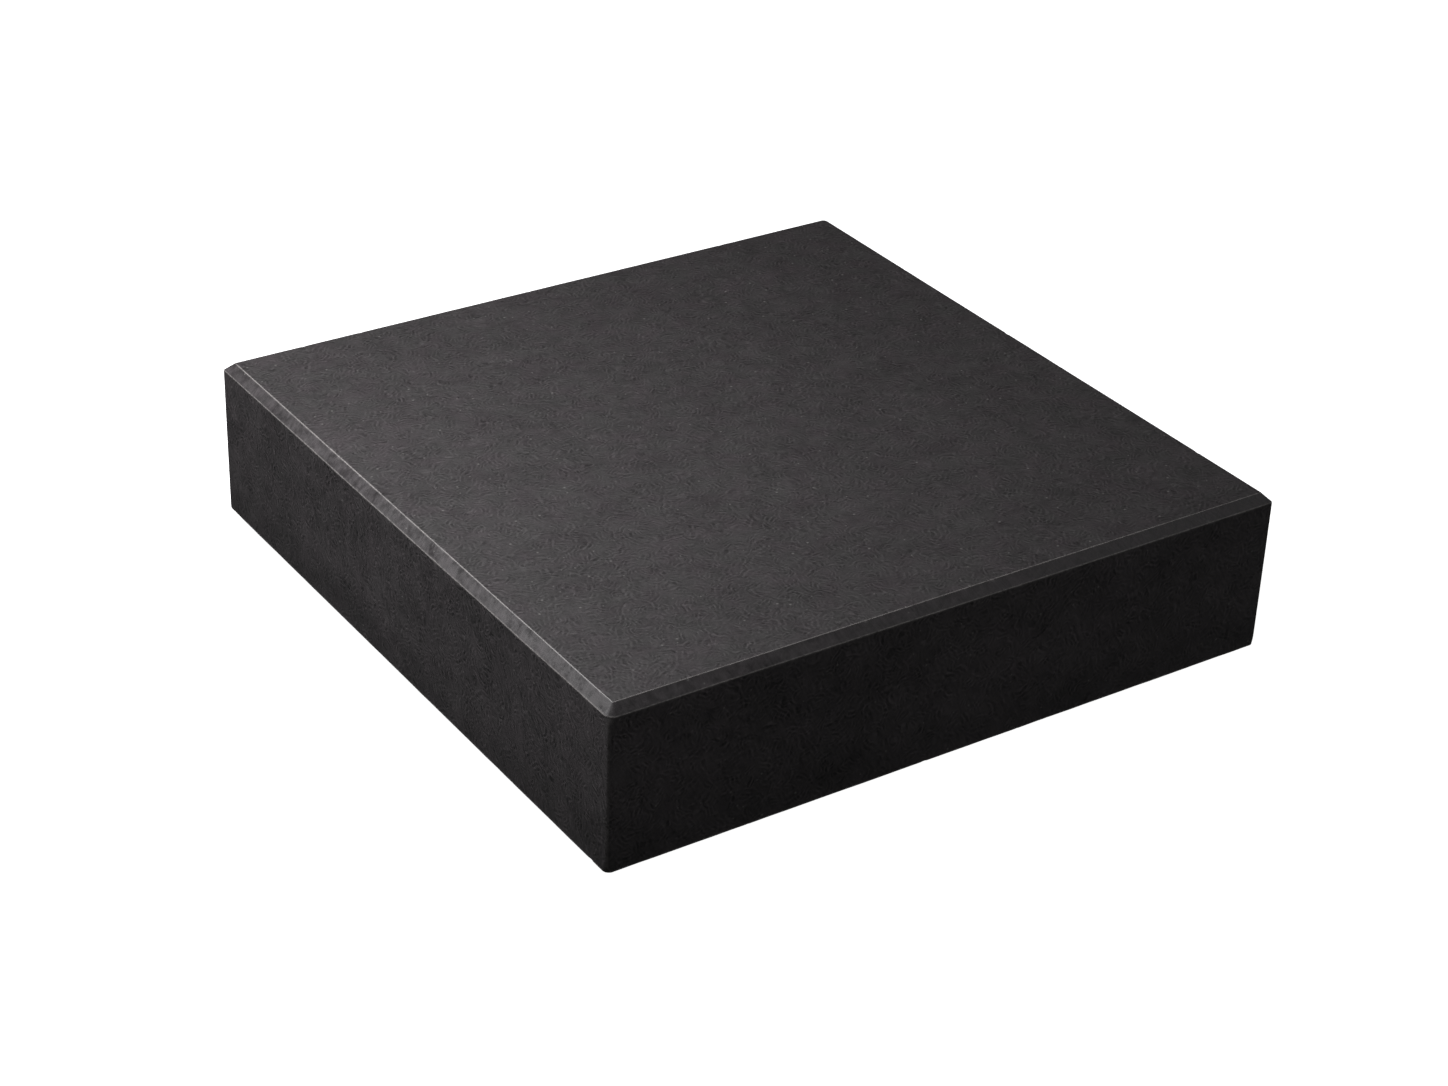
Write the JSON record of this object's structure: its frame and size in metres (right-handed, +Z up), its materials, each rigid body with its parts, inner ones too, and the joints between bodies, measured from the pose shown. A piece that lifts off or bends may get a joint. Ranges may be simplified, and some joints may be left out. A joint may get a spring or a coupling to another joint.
{
  "type": "granite slab",
  "caption": "Square, thick slab of dark honed stone with a chamfered working face, standing on stick-on rubber feet, for tooling and punching leather on.",
  "frame": {"origin": "on the bench, under the centre of the block, at the soles of the feet", "axes": "+Z up, out of the working face; +X to the right and +Y to the rear, along the block's sides"},
  "size_m": [0.22, 0.22, 0.0544],
  "materials": {
    "honed_granite": "satin",
    "rubber": "matte",
    "adhesive_foam": "matte"
  },
  "bodies": {
    "root": {"stone_block": "honed_granite", "rubber_foot_front_left": "rubber", "rubber_foot_front_right": "rubber", "rubber_foot_rear_left": "rubber", "rubber_foot_rear_right": "rubber", "adhesive_disc_front_left": "adhesive_foam", "adhesive_disc_front_right": "adhesive_foam", "adhesive_disc_rear_left": "adhesive_foam", "adhesive_disc_rear_right": "adhesive_foam"}
  },
  "joints": []
}
